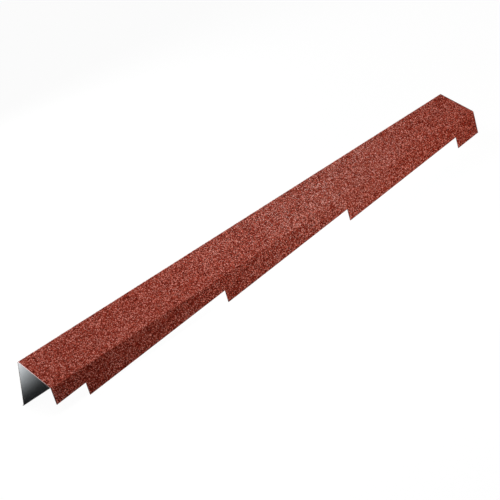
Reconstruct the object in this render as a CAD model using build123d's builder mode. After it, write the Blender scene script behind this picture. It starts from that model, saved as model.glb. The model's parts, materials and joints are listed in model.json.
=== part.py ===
from build123d import *

import os
from math import atan2, ceil, cos, degrees, radians, sin, tan

# Gable trim for a roof of stone-coated steel tiles: one sheet folded to a cap over the gable
# board, with a plain drop and drip lip on the gable side and a toothed flange on the roof side.
# Each tooth follows the top of one tile course, and the step after it drops over that course's nose.
# The trim stands unheld on the tips of its teeth and on its drip lip. Millimetres and degrees.

# Sheet
steel_gauge = 0.5
grit_coat = 1.3
fold_inside_radius = 1.5

# Lengths along the trim
length = 1250.0
course_pitch = 368.0
first_notch = 73.0

# Section, measured on the outside between sharp corners
cap_width = 100.0
gable_drop = 120.0
lip_length = 4.5
lip_kick = 45.0
roof_flange = 60.0
roof_splay = 22.0
tooth_depth = 27.5

sheet = steel_gauge + grit_coat
fold_outside_radius = fold_inside_radius + sheet

# Corners of the section, across and up from the sharp corner of the gable fold
gable_corner = Vector(0, 0)
roof_corner = Vector(-cap_width, 0)
lip_root = Vector(0, -gable_drop)
lip_out = Vector(sin(radians(lip_kick)), -cos(radians(lip_kick)))
lip_tip = lip_root + lip_out * lip_length
heel = lip_tip + Vector(lip_out.Y, -lip_out.X) * sheet
flange_down = Vector(-sin(radians(roof_splay)), -cos(radians(roof_splay)))
tooth_tip = roof_corner + flange_down * roof_flange
tooth_inside = tooth_tip + Vector(-flange_down.Y, flange_down.X) * sheet

# At rest the heel of the drip lip and the tips of the teeth are level
footing = heel - tooth_tip
rest_lean = degrees(atan2(-footing.Y, footing.X))
leaning = Plane.YZ.rotated((rest_lean, 0, 0))

# The origin is on the floor, in the middle of the box that the leaning section fills
roof_fold_tangent = fold_outside_radius * tan(radians(90 - roof_splay) / 2)
roof_fold_centre = roof_corner + Vector(roof_fold_tangent, -fold_outside_radius)
roof_fold_reach = leaning.from_local_coords(roof_fold_centre).Y - fold_outside_radius
feet = [leaning.from_local_coords(corner) for corner in (tooth_tip, tooth_inside, lip_tip, heel)]
roof_side = min(roof_fold_reach, *(foot.Y for foot in feet))
gable_side = max(foot.Y for foot in feet)
floor = min(foot.Z for foot in feet)
section_plane = Plane(
    origin=(-length / 2, -(roof_side + gable_side) / 2, -floor),
    x_dir=leaning.x_dir,
    z_dir=leaning.z_dir,
)

# Outside face of the roof flange, with its origin at the near end of the fold
flange_face = Plane(
    origin=section_plane.from_local_coords(roof_corner),
    x_dir=section_plane.z_dir,
    z_dir=(-section_plane.x_dir).rotate(Axis.X, -roof_splay),
)

course_count = ceil((length - first_notch) / course_pitch) + 1

with BuildPart() as gable_trim:
    # The folded sheet: its outside line is thickened inwards and drawn out to length
    with BuildSketch(section_plane):
        with BuildLine():
            FilletPolyline(
                tooth_tip,
                roof_corner,
                gable_corner,
                lip_root,
                lip_tip,
                radius=(fold_outside_radius, fold_outside_radius, fold_inside_radius),
            )
            offset(amount=sheet, side=Side.RIGHT)
        make_face()
    extrude(amount=length)

    # Waste cut from the roof flange, one wedge for each course that the trim covers
    with BuildSketch(flange_face):
        for course in range(course_count):
            with Locations((first_notch + (course - 1) * course_pitch, -roof_flange)):
                Polygon(
                    (0, -sheet),
                    (course_pitch, -sheet),
                    (course_pitch, tooth_depth),
                    (0, 0),
                    align=None,
                )
    extrude(amount=2 * sheet, both=True, mode=Mode.SUBTRACT)

gable_trim.part.label = "gable_trim"

os.makedirs("parts", exist_ok=True)
export_step(gable_trim.part, "parts/gable_trim.step")
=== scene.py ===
"""A gable trim of stone-coated steel in its finish, standing on a white studio floor.

The trim is one folded sheet. Here it is shown as its zinc-coated steel, the bed of tinted binder
on the outside of the steel, the stone granules set in that bed, and the cut face of the coat at
its two ends. Lengths are in metres.
"""
import json
import logging
import math
from collections.abc import Callable, Iterator, Sequence
from contextlib import contextmanager
from dataclasses import dataclass, field
from enum import Enum, IntEnum

import bmesh
import bpy
import numpy as np
from mathutils import Matrix, Vector


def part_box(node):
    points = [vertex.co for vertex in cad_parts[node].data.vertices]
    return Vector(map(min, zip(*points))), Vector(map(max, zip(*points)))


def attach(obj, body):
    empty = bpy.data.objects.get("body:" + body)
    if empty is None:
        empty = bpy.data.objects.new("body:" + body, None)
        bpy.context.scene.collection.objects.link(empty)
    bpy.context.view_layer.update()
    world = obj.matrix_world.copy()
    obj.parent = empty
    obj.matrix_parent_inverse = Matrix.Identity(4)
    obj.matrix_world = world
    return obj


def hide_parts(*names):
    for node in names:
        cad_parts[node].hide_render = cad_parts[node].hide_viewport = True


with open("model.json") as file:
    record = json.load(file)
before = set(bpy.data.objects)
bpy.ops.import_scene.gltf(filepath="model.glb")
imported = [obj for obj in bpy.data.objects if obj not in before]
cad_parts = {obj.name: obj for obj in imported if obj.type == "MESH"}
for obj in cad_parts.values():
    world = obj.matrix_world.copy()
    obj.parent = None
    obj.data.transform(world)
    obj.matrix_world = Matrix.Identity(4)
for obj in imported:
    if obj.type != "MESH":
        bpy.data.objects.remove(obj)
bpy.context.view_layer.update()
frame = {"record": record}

log = logging.getLogger("gable_trim")

BODY = "root"
NODE = "gable_trim"
MILLIMETRE = 0.001
WHITE = "#FFFFFF"


class Slot(Enum):
    """Material slots of the record."""

    STONE_COAT = "stone_coat"
    ZINC_SHEET = "zinc_sheet"


class Leaf(Enum):
    """The three leaves of the folded sheet, in order from the toothed edge to the drip lip."""

    ROOF_FLANGE = "roof_flange"
    CAP = "cap"
    GABLE_DROP = "gable_drop"


class Dress(IntEnum):
    """Places of a sheet layer's three materials, in the order that it takes them."""

    SKIN = 0
    EDGE = 1
    # The cap's two cut ends take a paler copy of the edge finish, a painted highlight.
    HIGHLIT_CAP_END = 2


def linear(hex_colour: str) -> tuple[float, float, float, float]:
    """Turns an sRGB hex colour into the linear colour that a shader socket takes.

    Args:
        hex_colour: six hex digits, with or without a leading hash.

    Returns:
        Linear red, green, blue and an alpha of one.
    """
    digits = hex_colour.lstrip("#")
    channels = [int(digits[i:i + 2], 16) / 255 for i in (0, 2, 4)]
    red, green, blue = (c / 12.92 if c <= 0.04045 else ((c + 0.055) / 1.055) ** 2.4 for c in channels)
    return red, green, blue, 1.0


def add_node(
    tree: bpy.types.NodeTree, kind: str, inputs: dict | None = None, **settings: object,
) -> bpy.types.Node:
    """Adds a node, sets its properties and fills or links its sockets.

    Args:
        tree: the node tree to add to.
        kind: the node's type name.
        inputs: socket name or index to a value, or to the output socket that feeds it.
        settings: properties of the node itself.

    Returns:
        The new node.
    """
    node = tree.nodes.new(kind)
    for name, value in settings.items():
        setattr(node, name, value)
    for key, value in (inputs or {}).items():
        if isinstance(value, bpy.types.NodeSocket):
            tree.links.new(value, node.inputs[key])
        else:
            node.inputs[key].default_value = value
    return node


def new_material(name: str) -> bpy.types.Material:
    """Starts a node material.

    Args:
        name: what the material is called.

    Returns:
        The material, with no node in it yet.
    """
    material = bpy.data.materials.new(name)
    material.use_nodes = True
    material.node_tree.nodes.clear()
    return material


@contextmanager
def editing(piece: bpy.types.Object) -> Iterator[None]:
    """Opens a piece in edit mode with nothing selected, and closes it again.

    Args:
        piece: the mesh object to edit.

    Yields:
        Nothing, once, while the piece is open.
    """
    deselect_all()
    piece.select_set(True)
    bpy.context.view_layer.objects.active = piece
    bpy.ops.object.mode_set(mode="EDIT")
    bpy.ops.mesh.select_all(action="DESELECT")
    yield
    bpy.ops.object.mode_set(mode="OBJECT")


def deselect_all() -> None:
    """Leaves object mode with no object selected."""
    if bpy.context.object and bpy.context.object.mode != "OBJECT":
        bpy.ops.object.mode_set(mode="OBJECT")
    bpy.ops.object.select_all(action="DESELECT")


def select_edges(piece: bpy.types.Object, wanted: Callable[[Vector], bool]) -> None:
    """Selects, in edit mode, the edges whose two ends both pass a test.

    Args:
        piece: the mesh object in edit mode.
        wanted: test of a vertex's place.
    """
    mesh = bmesh.from_edit_mesh(piece.data)
    bpy.ops.mesh.select_mode(type="EDGE")
    for edge in mesh.edges:
        edge.select_set(all(wanted(vertex.co) for vertex in edge.verts))
    bmesh.update_edit_mesh(piece.data)


def apply_modifier(piece: bpy.types.Object, kind: str, **settings: object) -> None:
    """Adds a modifier with its settings and applies it.

    Args:
        piece: the mesh object that takes it.
        kind: the modifier's type name.
        settings: properties of the modifier.
    """
    deselect_all()
    bpy.context.view_layer.objects.active = piece
    modifier = piece.modifiers.new(kind.lower(), kind)
    for name, value in settings.items():
        setattr(modifier, name, value)
    bpy.ops.object.modifier_apply(modifier=modifier.name)


@dataclass(frozen=True)
class TrimSize:
    """The trim's sizes, measured on the outside between the sharp corners of its section."""

    length: float
    steel_gauge: float = 0.5 * MILLIMETRE
    grit_coat: float = 1.3 * MILLIMETRE
    fold_inside_radius: float = 1.5 * MILLIMETRE
    course_pitch: float = 368 * MILLIMETRE
    first_notch: float = 73 * MILLIMETRE
    cap_width: float = 100 * MILLIMETRE
    gable_drop: float = 120 * MILLIMETRE
    lip_length: float = 4.5 * MILLIMETRE
    lip_kick: float = math.radians(45)
    roof_flange: float = 60 * MILLIMETRE
    roof_splay: float = math.radians(22)
    tooth_depth: float = 27.5 * MILLIMETRE

    @property
    def sheet(self) -> float:
        """Thickness of the coated sheet."""
        return self.steel_gauge + self.grit_coat

    @property
    def fold_radii(self) -> tuple[float, float, float]:
        """Outside radii at the roof fold, the gable fold and the root of the lip."""
        fold = self.fold_inside_radius + self.sheet
        return fold, fold, self.fold_inside_radius

    @property
    def flange_down(self) -> Vector:
        """Direction down the roof flange."""
        return Vector((0, -math.sin(self.roof_splay), -math.cos(self.roof_splay)))

    @property
    def lip_out(self) -> Vector:
        """Direction out along the drip lip."""
        return Vector((0, math.sin(self.lip_kick), -math.cos(self.lip_kick)))

    @property
    def corners(self) -> list[Vector]:
        """Sharp corners of the section from the tooth tip to the tip of the lip, cap level."""
        roof_corner = Vector((0, -self.cap_width, 0))
        lip_root = Vector((0, 0, -self.gable_drop))
        return [
            roof_corner + self.flange_down * self.roof_flange,
            roof_corner,
            Vector((0, 0, 0)),
            lip_root,
            lip_root + self.lip_out * self.lip_length,
        ]

    @property
    def tooth_starts(self) -> list[float]:
        """Where each tooth starts along the trim, from the part tooth at the near end on."""
        near_end = -self.length / 2
        count = math.ceil((self.length - self.first_notch) / self.course_pitch) + 1
        return [near_end + self.first_notch + (tooth - 1) * self.course_pitch for tooth in range(count)]


@dataclass(frozen=True)
class RestPose:
    """How the trim stands on the floor: its lean, and the place of its outside gable corner."""

    lean: float
    corner: Vector

    @classmethod
    def from_mounts(cls, mounts: Sequence[dict], sheet: float) -> "RestPose":
        """Works the pose out from the two faces that lie against the barge board.

        Args:
            mounts: the record's mounts.
            sheet: thickness of the coated sheet.

        Returns:
            The pose.
        """
        seats = {mount["name"]: mount for mount in mounts}
        corner = Vector((0, 0, 0))
        for name in ("cap_seat", "barge_face"):
            axis = Vector(seats[name]["axis"])
            corner += axis * (axis.dot(Vector(seats[name]["pos_m"])) - sheet)
        down = seats["cap_seat"]["axis"]
        return cls(math.atan2(down[1], -down[2]), corner)

    @property
    def matrix(self) -> Matrix:
        """Carries the trim from cap level, with its gable corner on the X axis, to its rest."""
        return Matrix.Translation(self.corner) @ Matrix.Rotation(self.lean, 4, "X")


@dataclass(frozen=True)
class ZincSheet:
    """Zinc-coated steel with a grey back coat: smooth and satin, with a faint cloudy variation."""

    dark: str = "#7C7F81"
    light: str = "#8A8D8F"
    cloud_size: float = 35 * MILLIMETRE
    cloud_detail: float = 3.0
    roughness: float = 0.6
    sheen: float = 0.03

    def material(self) -> bpy.types.Material:
        """Mixes the back coat.

        Returns:
            Its material.
        """
        material = new_material("grey back coat on zinc-coated steel")
        tree = material.node_tree
        place = add_node(tree, "ShaderNodeTexCoord").outputs["Object"]
        cloud = add_node(
            tree, "ShaderNodeTexNoise",
            {"Vector": place, "Scale": 1 / self.cloud_size, "Detail": self.cloud_detail},
        )
        ramp = add_node(tree, "ShaderNodeValToRGB", {"Fac": cloud.outputs[0]})
        ramp.color_ramp.elements[0].color = linear(self.dark)
        ramp.color_ramp.elements[1].color = linear(self.light)
        skin = add_node(
            tree, "ShaderNodeBsdfPrincipled",
            {
                "Base Color": ramp.outputs["Color"],
                "Roughness": self.roughness,
                "Specular IOR Level": self.sheen,
            },
        )
        add_node(tree, "ShaderNodeOutputMaterial", {"Surface": skin.outputs["BSDF"]})
        return material


@dataclass(frozen=True)
class CutEdge:
    """Sheared edge of the coated sheet: streaky, with binder smeared over the zinc and steel. It is made
    twice, a darker copy that paints shade and a paler copy that paints a highlight.
    """

    name: str
    pale: str
    dark: str
    streak: float = 2.5 * MILLIMETRE
    roughness: float = 0.5
    sheen: float = 0.1

    def material(self) -> bpy.types.Material:
        """Mixes the cut edge's finish.

        Returns:
            Its material.
        """
        material = new_material(self.name)
        tree = material.node_tree
        place = add_node(tree, "ShaderNodeTexCoord").outputs["Object"]
        streaks = add_node(tree, "ShaderNodeTexNoise", {"Vector": place, "Scale": 1 / self.streak})
        ramp = add_node(tree, "ShaderNodeValToRGB", {"Fac": streaks.outputs[0]})
        ramp.color_ramp.elements[0].color = linear(self.dark)
        ramp.color_ramp.elements[1].color = linear(self.pale)
        edge = add_node(
            tree, "ShaderNodeBsdfPrincipled",
            {
                "Base Color": ramp.outputs["Color"],
                "Roughness": self.roughness,
                "Specular IOR Level": self.sheen,
            },
        )
        add_node(tree, "ShaderNodeOutputMaterial", {"Surface": edge.outputs["BSDF"]})
        return material


@dataclass(frozen=True)
class GranuleBed:
    """Acrylic binder tinted red and full of stone dust: dull, dark and finely gritty."""

    dark: str = "#3E1610"
    light: str = "#7A3226"
    grit: float = 0.9 * MILLIMETRE
    relief: float = 0.25 * MILLIMETRE
    roughness: float = 0.85
    sheen: float = 0.02

    def material(self) -> bpy.types.Material:
        """Mixes the binder.

        Returns:
            Its material.
        """
        material = new_material("tinted acrylic binder with stone dust")
        tree = material.node_tree
        place = add_node(tree, "ShaderNodeTexCoord").outputs["Object"]
        grit = add_node(tree, "ShaderNodeTexVoronoi", {"Vector": place, "Scale": 1 / self.grit})
        ramp = add_node(tree, "ShaderNodeValToRGB", {"Fac": grit.outputs["Distance"]})
        ramp.color_ramp.elements[0].color = linear(self.light)
        ramp.color_ramp.elements[1].color = linear(self.dark)
        bump = add_node(
            tree, "ShaderNodeBump",
            {"Height": grit.outputs["Distance"], "Distance": self.relief},
            invert=True,
        )
        bed = add_node(
            tree, "ShaderNodeBsdfPrincipled",
            {
                "Base Color": ramp.outputs["Color"],
                "Roughness": self.roughness,
                "Specular IOR Level": self.sheen,
                "Normal": bump.outputs["Normal"],
            },
        )
        add_node(tree, "ShaderNodeOutputMaterial", {"Surface": bed.outputs["BSDF"]})
        return material


@dataclass(frozen=True)
class StoneGranules:
    """Crushed stone with a fired red colour: each chip one tone, from near brown to pale salmon."""

    tones: tuple[tuple[float, str], ...] = (
        (0.00, "#2C0301"),
        (0.20, "#5E0B04"),
        (0.42, "#83291C"),
        (0.64, "#A14C3E"),
        (0.84, "#B56A5E"),
        (1.00, "#C48278"),
    )
    tone_attribute: str = "tone"
    roughness: float = 0.85
    sheen: float = 0.02

    def material(self) -> bpy.types.Material:
        """Mixes the stone, with its tone read from each chip.

        Returns:
            Its material.
        """
        material = new_material("red ceramic-coloured stone granules")
        tree = material.node_tree
        tone = add_node(tree, "ShaderNodeAttribute", attribute_name=self.tone_attribute)
        ramp = add_node(tree, "ShaderNodeValToRGB", {"Fac": tone.outputs["Fac"]})
        stops = ramp.color_ramp.elements
        while len(stops) < len(self.tones):
            stops.new(1.0)
        for stop, (position, colour) in zip(stops, self.tones):
            stop.position = position
            stop.color = linear(colour)
        chip = add_node(
            tree, "ShaderNodeBsdfPrincipled",
            {
                "Base Color": ramp.outputs["Color"],
                "Roughness": self.roughness,
                "Specular IOR Level": self.sheen,
            },
        )
        add_node(tree, "ShaderNodeOutputMaterial", {"Surface": chip.outputs["BSDF"]})
        return material


@dataclass
class SheetLayer:
    """One layer of the folded and notched sheet, between two depths under the granules' tips."""

    name: str
    size: TrimSize
    rest: RestPose
    outer_depth: float
    inner_depth: float
    kept_ends: float | None = None
    fold_segments: int = 8
    fold_profile: float = 0.5
    touching: float = 0.01 * MILLIMETRE
    end_facing: float = 0.01
    notch_spare: float = 10 * MILLIMETRE

    def build(
        self, skin: bpy.types.Material, edge: bpy.types.Material, cap_end: bpy.types.Material,
    ) -> bpy.types.Object:
        """Makes the layer and dresses its faces and its cut edges.

        Args:
            skin: material of the faces.
            edge: material of the cut edges, a darker copy of the edge finish that paints shade.
            cap_end: material of the two cut ends of the cap, a paler copy of the edge finish that paints a
                highlight.

        Returns:
            The finished piece, at its rest.
        """
        piece = self.fold()
        finishes = {Dress.SKIN: skin, Dress.EDGE: edge, Dress.HIGHLIT_CAP_END: cap_end}
        for place in Dress:
            piece.data.materials.append(finishes[place])
        self.thicken(piece)
        self.notch(piece)
        if self.kept_ends:
            self.cut_middle(piece)
        self.close_slivers(piece)
        self.dress_ends(piece)
        self.stand(piece)
        return piece

    def fold(self) -> bpy.types.Object:
        """Folds the outside face of the sheet from a flat cap, and rounds the folds.

        Returns:
            The folded face, with its cap level.
        """
        size = self.size
        deselect_all()
        bpy.ops.mesh.primitive_plane_add(size=1.0, location=(0, -size.cap_width / 2, 0))
        piece = bpy.context.object
        piece.name = piece.data.name = self.name
        piece.scale = (size.length, size.cap_width, 1)
        bpy.ops.object.transform_apply(location=True, rotation=True, scale=True)
        tooth_tip, roof_corner, gable_corner, lip_root, lip_tip = size.corners
        with editing(piece):
            select_edges(piece, lambda place: self.on_corner(place, gable_corner))
            self.pull_edge(lip_root - gable_corner)
            self.pull_edge(lip_tip - lip_root)
            select_edges(piece, lambda place: self.on_corner(place, roof_corner))
            self.pull_edge(tooth_tip - roof_corner)
            bpy.ops.mesh.select_all(action="SELECT")
            bpy.ops.mesh.normals_make_consistent(inside=False)
            turns = (math.pi / 2 - size.roof_splay, math.pi / 2, size.lip_kick)
            for corner, radius, turn in zip((roof_corner, gable_corner, lip_root), size.fold_radii, turns):
                select_edges(piece, lambda place, corner=corner: self.on_corner(place, corner))
                bpy.ops.mesh.bevel(
                    offset=radius * math.tan(turn / 2),
                    segments=self.fold_segments,
                    affect="EDGES",
                    profile=self.fold_profile,
                )
        return piece

    def on_corner(self, place: Vector, corner: Vector) -> bool:
        """Tells whether a place lies on the line along the trim through a corner of the section."""
        return math.hypot(place.y - corner.y, place.z - corner.z) < self.touching

    @staticmethod
    def pull_edge(step: Vector) -> None:
        """Extrudes the selected edge by a step, and leaves the new edge selected."""
        bpy.ops.mesh.extrude_region_move(TRANSFORM_OT_translate={"value": tuple(step)})

    def thicken(self, piece: bpy.types.Object) -> None:
        """Gives the folded face this layer's depths, with its long edges in the darker cut-edge copy, which
        paints shade.

        Args:
            piece: the folded face.
        """
        thickness = self.inner_depth - self.outer_depth
        apply_modifier(
            piece, "SOLIDIFY",
            thickness=thickness,
            offset=-(self.inner_depth + self.outer_depth) / thickness,
            use_even_offset=True,
            material_offset_rim=Dress.EDGE,
        )

    def notch(self, piece: bpy.types.Object) -> None:
        """Shears the saw teeth out of the roof flange, one wedge of waste for each tile course.

        Args:
            piece: the folded layer.
        """
        size = self.size
        tooth_tip = size.corners[0]
        spare = self.notch_spare
        deselect_all()
        bpy.ops.mesh.primitive_cube_add(size=1.0)
        wedge = bpy.context.object
        wedge.scale = (size.course_pitch, spare, spare)
        wedge.location = (size.course_pitch / 2, 0, -spare / 2)
        bpy.ops.object.transform_apply(location=True, rotation=True, scale=True)
        with editing(wedge):
            select_edges(wedge, lambda place: place.x > size.course_pitch / 2 and place.z > -spare / 2)
            bpy.ops.transform.translate(value=(0, 0, size.tooth_depth))
        turned = Matrix.Rotation(-size.roof_splay, 4, "X")
        for start in size.tooth_starts:
            wedge.matrix_world = Matrix.Translation(tooth_tip + Vector((start, 0, 0))) @ turned
            apply_modifier(piece, "BOOLEAN", object=wedge, operation="DIFFERENCE", solver="EXACT")
        bpy.data.objects.remove(wedge)

    def cut_middle(self, piece: bpy.types.Object) -> None:
        """Takes the layer away but for a narrow strip at each end of the trim.

        Args:
            piece: the notched layer.
        """
        deselect_all()
        bpy.ops.mesh.primitive_cube_add(size=self.size.length)
        waste = bpy.context.object
        waste.scale.x = 1 - 2 * self.kept_ends / self.size.length
        bpy.ops.object.transform_apply(location=True, rotation=True, scale=True)
        apply_modifier(piece, "BOOLEAN", object=waste, operation="DIFFERENCE", solver="EXACT")
        bpy.data.objects.remove(waste)

    def close_slivers(self, piece: bpy.types.Object) -> None:
        """Closes the hair-thin faces that two cuts in one plane leave behind.

        Args:
            piece: the layer after its last cut.
        """
        with editing(piece):
            bpy.ops.mesh.select_all(action="SELECT")
            bpy.ops.mesh.remove_doubles(threshold=self.touching)
            bpy.ops.mesh.dissolve_degenerate(threshold=self.touching)

    def dress_ends(self, piece: bpy.types.Object) -> None:
        """Gives the teeth and the two ends the darker cut-edge copy, painted shade, and the cap's ends the
        paler copy, a painted highlight.

        Args:
            piece: the layer after its last cut, with its cap level.
        """
        for face in piece.data.polygons:
            if abs(face.normal.x) > self.end_facing:
                between_folds = -self.size.cap_width < face.center.y < 0
                on_cap = between_folds and face.center.z > -self.size.sheet
                face.material_index = Dress.HIGHLIT_CAP_END if on_cap else Dress.EDGE

    def stand(self, piece: bpy.types.Object) -> None:
        """Stands the layer on the floor, with its place in its mesh."""
        piece.data.transform(self.rest.matrix)
        piece.data.update()


class FoldLine:
    """The outside line of the folded section, followed by its developed length from the tooth tip."""

    def __init__(self, size: TrimSize) -> None:
        """Lays straight runs and fold arcs end to end.

        Args:
            size: the trim's sizes.
        """
        corners = size.corners
        runs = [corners[i + 1] - corners[i] for i in range(len(corners) - 1)]
        headings = [math.atan2(run.z, run.y) for run in runs]
        turns = [after - before for before, after in zip(headings, headings[1:])]
        setbacks = [r * math.tan(abs(turn) / 2) for r, turn in zip(size.fold_radii, turns)]
        spans, knots = [], [0.0]
        place = corners[0]
        for i, run in enumerate(runs):
            setback_before = setbacks[i - 1] if i else 0
            setback_after = setbacks[i] if i < len(turns) else 0
            straight = run.length - setback_before - setback_after
            spans.append((place.y, place.z, headings[i], 0.0))
            knots.append(knots[-1] + straight)
            if i < len(turns):
                bend_start = corners[i + 1] - run.normalized() * setbacks[i]
                bend = turns[i] / (size.fold_radii[i] * abs(turns[i]))
                spans.append((bend_start.y, bend_start.z, headings[i], bend))
                knots.append(knots[-1] + size.fold_radii[i] * abs(turns[i]))
                place = corners[i + 1] + runs[i + 1].normalized() * setbacks[i]
        self.spans = np.array(spans)
        self.knots = np.array(knots)

    @property
    def length(self) -> float:
        """Developed length of the whole line."""
        return self.knots[-1]

    @property
    def leaf_ends(self) -> dict[Leaf, tuple[float, float]]:
        """Where each leaf starts and ends along the line, parted at the middle of the two main folds."""
        roof_fold = (self.knots[1] + self.knots[2]) / 2
        gable_fold = (self.knots[3] + self.knots[4]) / 2
        return {
            Leaf.ROOF_FLANGE: (0.0, roof_fold),
            Leaf.CAP: (roof_fold, gable_fold),
            Leaf.GABLE_DROP: (gable_fold, self.length),
        }

    def at(self, along: np.ndarray) -> tuple[np.ndarray, np.ndarray]:
        """Finds places and headings on the line.

        Args:
            along: developed lengths from the tooth tip.

        Returns:
            Places across and up, and headings in radians.
        """
        span = np.clip(np.searchsorted(self.knots, along, side="right") - 1, 0, len(self.spans) - 1)
        across, up, heading, bend = self.spans[span].T
        run = along - self.knots[span]
        turned = heading + bend * run
        curved = np.abs(bend) > 0
        safe = np.where(curved, bend, 1.0)
        across = across + np.where(curved, (np.sin(turned) - np.sin(heading)) / safe, run * np.cos(heading))
        up = up + np.where(curved, (np.cos(heading) - np.cos(turned)) / safe, run * np.sin(heading))
        return np.stack([across, up], axis=1), turned


# A chip has a corner each way along its three axes, and eight faces that point outwards. Its place
# on the map is that of its corners seen from above, in shares of the chip's own cell.
CHIP_CORNERS = np.array([(1, 0, 0), (-1, 0, 0), (0, 1, 0), (0, -1, 0), (0, 0, 1), (0, 0, -1)], float)
CHIP_FACES = np.array([
    (0, 2, 4), (2, 1, 4), (1, 3, 4), (3, 0, 4), (2, 0, 5), (1, 2, 5), (3, 1, 5), (0, 3, 5),
])
CHIP_MAP = np.array([(0.9, 0.5), (0.1, 0.5), (0.5, 0.9), (0.5, 0.1), (0.5, 0.5), (0.5, 0.5)])


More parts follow.
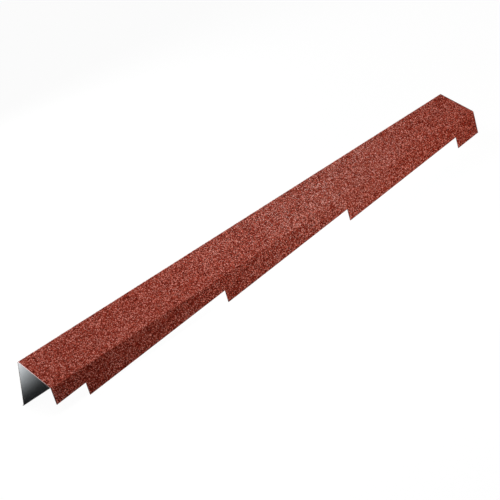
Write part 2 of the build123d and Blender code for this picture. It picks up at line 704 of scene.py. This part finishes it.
@dataclass
class GranuleCoat:
    """Stone granules set close together in the bed, each an eight-faced chip turned at random.

    Real granules are about 1 to 2 mm across. They are drawn a little coarser, so that single
    chips show in the picture and a leaf of the trim stays within its count of triangles.
    """

    size: TrimSize
    rest: RestPose
    line: FoldLine
    spacing: float = 2.7 * MILLIMETRE
    scatter: float = 0.32
    reach: tuple[float, float] = (1.1 * MILLIMETRE, 1.75 * MILLIMETRE)
    rise: tuple[float, float] = (0.6 * MILLIMETRE, 1.0 * MILLIMETRE)
    sunk: tuple[float, float] = (0.02 * MILLIMETRE, 0.3 * MILLIMETRE)
    tilt: float = math.radians(28)
    raggedness: float = 0.3
    jitter: float = 0.25
    tone_mix: tuple[float, float] = (1.4, 0.9)
    patch: float = 60 * MILLIMETRE
    patch_waves: int = 24
    patchiness: float = 0.02
    edge_gap: float = 0.4 * MILLIMETRE
    bake_map: str = "OFBake"
    seed: int = 7

    def build(self, leaf: Leaf, stone: bpy.types.Material) -> bpy.types.Object:
        """Sets the granules of one leaf.

        Args:
            leaf: the leaf to cover.
            stone: material of the granules.

        Returns:
            The finished piece, at its rest.
        """
        random = np.random.default_rng([self.seed, list(Leaf).index(leaf)])
        x, along = self.strew(leaf, random)
        places = self.chips(x, along, random)
        count = len(x)
        faces = (np.arange(count)[:, None, None] * len(CHIP_CORNERS) + CHIP_FACES).reshape(-1, 3)
        mesh = bpy.data.meshes.new(f"{leaf.value}_granules")
        mesh.from_pydata(places.reshape(-1, 3), [], faces)
        mesh.transform(self.rest.matrix)
        tone = mesh.attributes.new(StoneGranules.tone_attribute, "FLOAT", "FACE")
        tones = random.beta(*self.tone_mix, count) + self.mottle(x, along, random)
        tone.data.foreach_set("value", np.repeat(tones, len(CHIP_FACES)).astype(np.float32))
        self.lay_map(mesh, count)
        mesh.materials.append(stone)
        piece = bpy.data.objects.new(mesh.name, mesh)
        bpy.context.scene.collection.objects.link(piece)
        return piece

    def mottle(self, x: np.ndarray, along: np.ndarray, random: np.random.Generator) -> np.ndarray:
        """Makes the slow drift in tone over the sheet that uneven strewing leaves.

        Args:
            x: places along the trim.
            along: developed lengths around the section.
            random: the source of chance.

        Returns:
            A shift in tone for each chip.
        """
        waves = random.normal(0, math.pi / self.patch, (2, self.patch_waves))
        phases = random.uniform(0, 2 * math.pi, self.patch_waves)
        drift = np.cos(np.outer(x, waves[0]) + np.outer(along, waves[1]) + phases).sum(axis=1)
        return self.patchiness * math.sqrt(2 / self.patch_waves) * drift

    def lay_map(self, mesh: bpy.types.Mesh, count: int) -> None:
        """Gives each chip a cell of its own on a map that a bake of the tones can use.

        Args:
            mesh: the granules of one leaf, six corners to a chip.
            count: how many chips it has.
        """
        cells = math.ceil(math.sqrt(count))
        chip = np.arange(count)
        cell = np.stack([chip % cells, chip // cells], axis=1)
        places = ((cell[:, None, :] + CHIP_MAP) / cells).reshape(-1, 2)
        corners = np.empty(len(mesh.loops), np.int32)
        mesh.loops.foreach_get("vertex_index", corners)
        layer = mesh.uv_layers.new(name=self.bake_map)
        layer.uv.foreach_set("vector", places[corners].astype(np.float32).ravel())

    def strew(self, leaf: Leaf, random: np.random.Generator) -> tuple[np.ndarray, np.ndarray]:
        """Spreads granules over a leaf in loose rows, clear of its cut edges.

        Args:
            leaf: the leaf to cover.
            random: the source of chance.

        Returns:
            Places along the trim, and developed lengths around its section.
        """
        first, last = self.line.leaf_ends[leaf]
        half = self.size.length / 2
        row_step = self.spacing * math.sqrt(3) / 2
        rows = np.arange(first, last, row_step)
        steps = np.arange(-half, half, self.spacing)
        x = steps[None, :] + (np.arange(len(rows)) % 2)[:, None] * self.spacing / 2
        along = np.broadcast_to(rows[:, None], x.shape)
        x = x + random.uniform(-self.scatter, self.scatter, x.shape) * self.spacing
        along = along + random.uniform(-self.scatter, self.scatter, x.shape) * self.spacing
        kept = (np.abs(x) < half - self.edge_gap) & (along < self.line.length - self.edge_gap)
        kept &= along > self.tooth_edge(x) + self.edge_gap
        return x[kept], along[kept]

    def tooth_edge(self, x: np.ndarray) -> np.ndarray:
        """Finds the saw-tooth edge.

        Args:
            x: places along the trim.

        Returns:
            Heights of the edge above the tooth tips, measured up the flange.
        """
        size = self.size
        past_notch = np.mod(x + size.length / 2 - size.first_notch, size.course_pitch)
        return past_notch / size.course_pitch * size.tooth_depth

    def chips(self, x: np.ndarray, along: np.ndarray, random: np.random.Generator) -> np.ndarray:
        """Shapes the chips and sets them on the folded sheet, cap level.

        Args:
            x: places along the trim.
            along: developed lengths around the section.
            random: the source of chance.

        Returns:
            Six corners for each chip.
        """
        count = len(x)
        each_corner = (count, len(CHIP_CORNERS))
        wide = random.uniform(*self.reach, (count, 2))
        tall = random.uniform(*self.rise, (count, 1))
        radii = np.concatenate([wide, tall], axis=1)
        ragged = random.uniform(1 - self.raggedness, 1 + self.raggedness, (*each_corner, 1))
        local = CHIP_CORNERS * radii[:, None, :] * ragged
        local += random.uniform(-self.jitter, self.jitter, (*each_corner, 3)) * radii[:, None, :]
        local = self.turned(local, random.uniform(-self.tilt, self.tilt, count), axis=0)
        local = self.turned(local, random.uniform(0, 2 * math.pi, count), axis=2)
        peak = random.uniform(*self.sunk, (count, 1))
        depth = local[:, :, 2].max(axis=1, keepdims=True) + peak - local[:, :, 2]
        depth = np.clip(depth, 0, self.size.grit_coat)
        lengthwise, developed = self.trimmed(x, along, local)
        section, heading = self.line.at(developed.ravel())
        section -= depth.reshape(-1, 1) * np.stack([-np.sin(heading), np.cos(heading)], axis=1)
        return np.concatenate([lengthwise[:, :, None], section.reshape(count, -1, 2)], axis=2)

    def trimmed(
        self, x: np.ndarray, along: np.ndarray, local: np.ndarray,
    ) -> tuple[np.ndarray, np.ndarray]:
        """Lays the chips' corners out on the flat sheet and trims them to its cut edges.

        Args:
            x: places of the chips along the trim.
            along: developed lengths of the chips around the section.
            local: corners about each chip's own middle.

        Returns:
            Places of the corners along the trim, and developed lengths around its section.
        """
        size = self.size
        half = size.length / 2
        tooth_start = x - np.mod(x + half - size.first_notch, size.course_pitch)
        beside_step = along < size.tooth_depth + self.reach[1]
        near_side = np.where(beside_step, np.maximum(tooth_start, -half), -half)
        far_side = np.where(beside_step, np.minimum(tooth_start + size.course_pitch, half), half)
        lengthwise = np.clip(x[:, None] + local[:, :, 0], near_side[:, None], far_side[:, None])
        edge = (lengthwise - tooth_start[:, None]) / size.course_pitch * size.tooth_depth
        return lengthwise, np.clip(along[:, None] + local[:, :, 1], edge, self.line.length)

    @staticmethod
    def turned(points: np.ndarray, angles: np.ndarray, axis: int) -> np.ndarray:
        """Turns each chip's points about one of its own axes.

        Args:
            points: the chips' corners.
            angles: one angle for each chip.
            axis: 0, 1 or 2.

        Returns:
            The turned corners.
        """
        first, second = [i for i in range(3) if i != axis]
        cos, sin = np.cos(angles)[:, None], np.sin(angles)[:, None]
        result = points.copy()
        result[:, :, first] = cos * points[:, :, first] - sin * points[:, :, second]
        result[:, :, second] = sin * points[:, :, first] + cos * points[:, :, second]
        return result


@dataclass(frozen=True)
class Camera:
    """The photo's camera, placed by the trim as it is with its cap level.

    Its sensor is in millimetres, and its focal length in pixels of the photo.
    """

    station: tuple[float, float, float] = (-1.7551, -1.7592, 2.0418)
    azimuth: float = math.radians(-44.909)
    elevation: float = math.radians(40.790)
    focal_pixels: float = 1518.4
    frame_pixels: float = 500.0
    sensor: float = 36.0
    sees_to: float = 100.0

    def build(self, rest: RestPose) -> bpy.types.Object:
        """Sets the camera up and makes it the scene's own.

        Args:
            rest: how the trim stands.

        Returns:
            The camera.
        """
        data = bpy.data.cameras.new("photo_camera")
        data.sensor_width = self.sensor
        data.lens = self.sensor * self.focal_pixels / self.frame_pixels
        data.clip_end = self.sees_to
        level = math.cos(self.elevation)
        aside, ahead = math.sin(self.azimuth), math.cos(self.azimuth)
        back = Vector((aside * level, -ahead * level, math.sin(self.elevation)))
        right = Vector((ahead, aside, 0))
        turn = Matrix((right, back.cross(right), back)).transposed().to_4x4()
        camera = bpy.data.objects.new("photo_camera", data)
        camera.matrix_world = rest.matrix @ Matrix.Translation(self.station) @ turn
        bpy.context.scene.collection.objects.link(camera)
        bpy.context.scene.camera = camera
        return camera


def hang_lamp(
    data: bpy.types.Light, place: tuple[float, float, float], aim: tuple[float, float, float],
) -> bpy.types.Object:
    """Puts a lamp into the scene at a place, pointing at another.

    Args:
        data: the lamp's light.
        place: where it stands.
        aim: what it points at.

    Returns:
        The lamp.
    """
    lamp = bpy.data.objects.new(data.name, data)
    lamp.location = place
    lamp.rotation_euler = (Vector(aim) - Vector(place)).to_track_quat("-Z", "Y").to_euler()
    bpy.context.scene.collection.objects.link(lamp)
    return lamp


@dataclass(frozen=True)
class Softbox:
    """A soft lamp: a lit rectangle that stands at a place and points at another."""

    name: str
    place: tuple[float, float, float]
    aim: tuple[float, float, float]
    width: float
    height: float
    power: float
    tint: str = WHITE
    spread: float = math.radians(180)

    def build(self) -> bpy.types.Object:
        """Hangs the lamp, out of the camera's sight.

        Returns:
            The lamp.
        """
        data = bpy.data.lights.new(self.name, "AREA")
        data.color = linear(self.tint)[:3]
        data.shape = "RECTANGLE"
        data.size = self.width
        data.size_y = self.height
        data.energy = self.power
        data.spread = self.spread
        lamp = hang_lamp(data, self.place, self.aim)
        lamp.visible_camera = False
        return lamp


@dataclass(frozen=True)
class Spotlight:
    """A shaded lamp with a soft-edged beam, flagged off from all but a few pieces."""

    name: str
    place: tuple[float, float, float]
    aim: tuple[float, float, float]
    cone: float
    power: float
    bulb: float
    edge_softness: float = 1.0

    def build(self, lit: Sequence[bpy.types.Object]) -> bpy.types.Object:
        """Hangs the lamp.

        Args:
            lit: the pieces that it shines on.

        Returns:
            The lamp.
        """
        data = bpy.data.lights.new(self.name, "SPOT")
        data.spot_size = self.cone
        data.spot_blend = self.edge_softness
        data.energy = self.power
        data.shadow_soft_size = self.bulb
        lamp = hang_lamp(data, self.place, self.aim)
        lamp.light_linking.receiver_collection = bpy.data.collections.new(f"{self.name}_receivers")
        for piece in lit:
            lamp.light_linking.receiver_collection.objects.link(piece)
        return lamp


@dataclass(frozen=True)
class Studio:
    """A white floor that runs out of the picture, dim room light, and lamps.

    A cool fill and a warm front lamp bring out the two tones of the cap and the roof flange. Two
    weak strips under the trim light its inside, and a small spotlight shines into its near end.
    """

    floor_reach: float = 30.0
    floor_bounce: str = "#343332"
    room_tint: str = WHITE
    room_light: float = 0.12
    shadow_share: float = 0.04
    softboxes: tuple[Softbox, ...] = (
        Softbox(
            "overhead", place=(-0.5, -0.58, 1.4), aim=(-0.1, -0.03, 0.09),
            width=1.4, height=0.6, power=26.4,
        ),
        Softbox(
            "front", place=(0.28, -0.84, 0.1), aim=(0.28, -0.07, 0.05),
            width=0.7, height=0.2, power=6.8, tint="#FFD8C4",
        ),
        Softbox(
            "sky_fill", place=(0.15, -0.3, 0.35), aim=(0.15, -0.06, 0.08),
            width=0.4, height=0.15, power=0.38, tint="#43E7FF", spread=math.radians(100),
        ),
        Softbox(
            "back", place=(0.0, 2.4, 1.0), aim=(0.0, 0.04, 0.05),
            width=1.4, height=0.6, power=76.0,
        ),
        Softbox(
            "under_drop", place=(0.03, 0.0395, 0.0544), aim=(0.03, -0.0043, 0.0302),
            width=1.14, height=0.06, power=0.75,
        ),
        Softbox(
            "under_flange", place=(0.2, -0.0698, 0.036), aim=(0.2, -0.0202, 0.0421),
            width=0.8, height=0.02, power=0.3,
        ),
    )
    end_light: Spotlight = Spotlight(
        "end_light", place=(-0.95, -0.3, 0.02), aim=(-0.735, -0.043, 0.204),
        cone=math.radians(60), power=57.0, bulb=0.01,
    )

    def build(self, sheet: Sequence[bpy.types.Object]) -> None:
        """Lays the floor, lights the room and hangs the lamps.

        Args:
            sheet: the pieces that the spotlight at the open end shines on.
        """
        bpy.context.scene.view_settings.view_transform = "Standard"
        self.lay_floor()
        self.light_room()
        for softbox in self.softboxes:
            softbox.build()
        self.end_light.build(sheet)

    @staticmethod
    def seen_directly(tree: bpy.types.NodeTree) -> bpy.types.NodeSocket:
        """Tells rays that look at a surface from rays that only gather light.

        Args:
            tree: the node tree to add to.

        Returns:
            A socket with one for rays from the camera, from gloss and from glass, and zero for others.
        """
        path = add_node(tree, "ShaderNodeLightPath").outputs
        seen = path["Is Camera Ray"]
        for ray in ("Is Glossy Ray", "Is Transmission Ray"):
            seen = add_node(tree, "ShaderNodeMath", {0: seen, 1: path[ray]}, operation="MAXIMUM").outputs[0]
        return seen

    def lay_floor(self) -> None:
        """Lays a pale matt floor that looks white and still takes a soft shadow."""
        deselect_all()
        bpy.ops.mesh.primitive_plane_add(size=2 * self.floor_reach)
        floor = bpy.context.object
        floor.name = floor.data.name = "floor"
        material = new_material("matt white studio floor")
        tree = material.node_tree
        seen = add_node(
            tree, "ShaderNodeMath",
            {0: self.seen_directly(tree), 1: 1 - self.shadow_share},
            operation="MULTIPLY",
        )
        paint = add_node(
            tree, "ShaderNodeMixRGB",
            {0: seen.outputs[0], 1: linear(self.floor_bounce), 2: linear(WHITE)},
        )
        matt = add_node(tree, "ShaderNodeBsdfDiffuse", {"Color": paint.outputs["Color"]})
        white = add_node(tree, "ShaderNodeEmission", {"Color": linear(WHITE), "Strength": 1.0})
        mix = add_node(
            tree, "ShaderNodeMixShader",
            {0: seen.outputs[0], 1: matt.outputs["BSDF"], 2: white.outputs["Emission"]},
        )
        add_node(tree, "ShaderNodeOutputMaterial", {"Surface": mix.outputs["Shader"]})
        floor.data.materials.append(material)

    def light_room(self) -> None:
        """Fills the room with dim even light, and shows it white beyond the floor."""
        world = bpy.data.worlds.new("studio_room")
        world.use_nodes = True
        tree = world.node_tree
        tree.nodes.clear()
        dim = add_node(
            tree, "ShaderNodeBackground", {"Color": linear(self.room_tint), "Strength": self.room_light},
        )
        white = add_node(tree, "ShaderNodeBackground", {"Color": linear(WHITE), "Strength": 1.0})
        mix = add_node(
            tree, "ShaderNodeMixShader",
            {0: self.seen_directly(tree), 1: dim.outputs["Background"], 2: white.outputs["Background"]},
        )
        add_node(tree, "ShaderNodeOutputWorld", {"Surface": mix.outputs["Shader"]})
        bpy.context.scene.world = world


@dataclass
class GableTrim:
    """The whole trim: steel, bed and granules, all standing for the one CAD node."""

    size: TrimSize
    rest: RestPose
    steel_depth: float = 1.3 * MILLIMETRE
    bed_depth: float = 0.9 * MILLIMETRE
    sheared_depth: float = 0.1 * MILLIMETRE
    sheared_strip: float = 0.6 * MILLIMETRE
    sheet: list[bpy.types.Object] = field(default_factory=list)

    @classmethod
    def from_frame(cls) -> "GableTrim":
        """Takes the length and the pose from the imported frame.

        Returns:
            The trim, with no piece made yet.
        """
        low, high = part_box(NODE)
        size = TrimSize(length=high.x - low.x)
        return cls(size, RestPose.from_mounts(frame["record"]["mounts"], size.sheet))

    def build(self) -> list[bpy.types.Object]:
        """Makes and dresses every piece.

        Returns:
            The pieces.
        """
        # One cut-edge finish in two copies: the darker one paints shade on the teeth, the long edges and
        # the ends, the paler one paints a highlight on the cap's two ends.
        edge = CutEdge("cut edge of coated steel darkened as painted shade", pale="#5C5654", dark="#423D3B").material()
        cap_end = CutEdge("cut edge of coated steel paled as painted highlight", pale="#A58D8C", dark="#897473").material()
        steel = SheetLayer("steel_sheet", self.size, self.rest, self.steel_depth, self.size.sheet)
        bed = SheetLayer("granule_bed", self.size, self.rest, self.bed_depth, self.steel_depth)
        sheared = SheetLayer(
            "sheared_coat", self.size, self.rest, self.sheared_depth, self.bed_depth, self.sheared_strip,
        )
        binder = GranuleBed().material()
        self.sheet = [
            self.fit(steel.build(ZincSheet().material(), edge, cap_end), Slot.ZINC_SHEET),
            self.fit(bed.build(binder, edge, cap_end), Slot.STONE_COAT),
            self.fit(sheared.build(binder, edge, cap_end), Slot.STONE_COAT),
        ]
        coat = GranuleCoat(self.size, self.rest, FoldLine(self.size))
        stone = StoneGranules().material()
        granules = [self.fit(coat.build(leaf, stone), Slot.STONE_COAT) for leaf in Leaf]
        return self.sheet + granules

    @staticmethod
    def fit(piece: bpy.types.Object, slot: Slot) -> bpy.types.Object:
        """Fixes a piece to the frame and hides the CAD part.

        Args:
            piece: the finished piece.
            slot: the record's material slot; not used.

        Returns:
            The piece.
        """
        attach(piece, BODY)
        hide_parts(NODE)
        return piece


def main() -> None:
    """Builds the trim and the studio."""
    logging.basicConfig(level=logging.INFO, format="%(name)s: %(message)s")
    trim = GableTrim.from_frame()
    pieces = trim.build()
    for piece in pieces:
        log.info("%s: %d faces", piece.name, len(piece.data.polygons))
    Studio().build(trim.sheet)
    Camera().build(trim.rest)


if __name__ == "__main__":
    main()
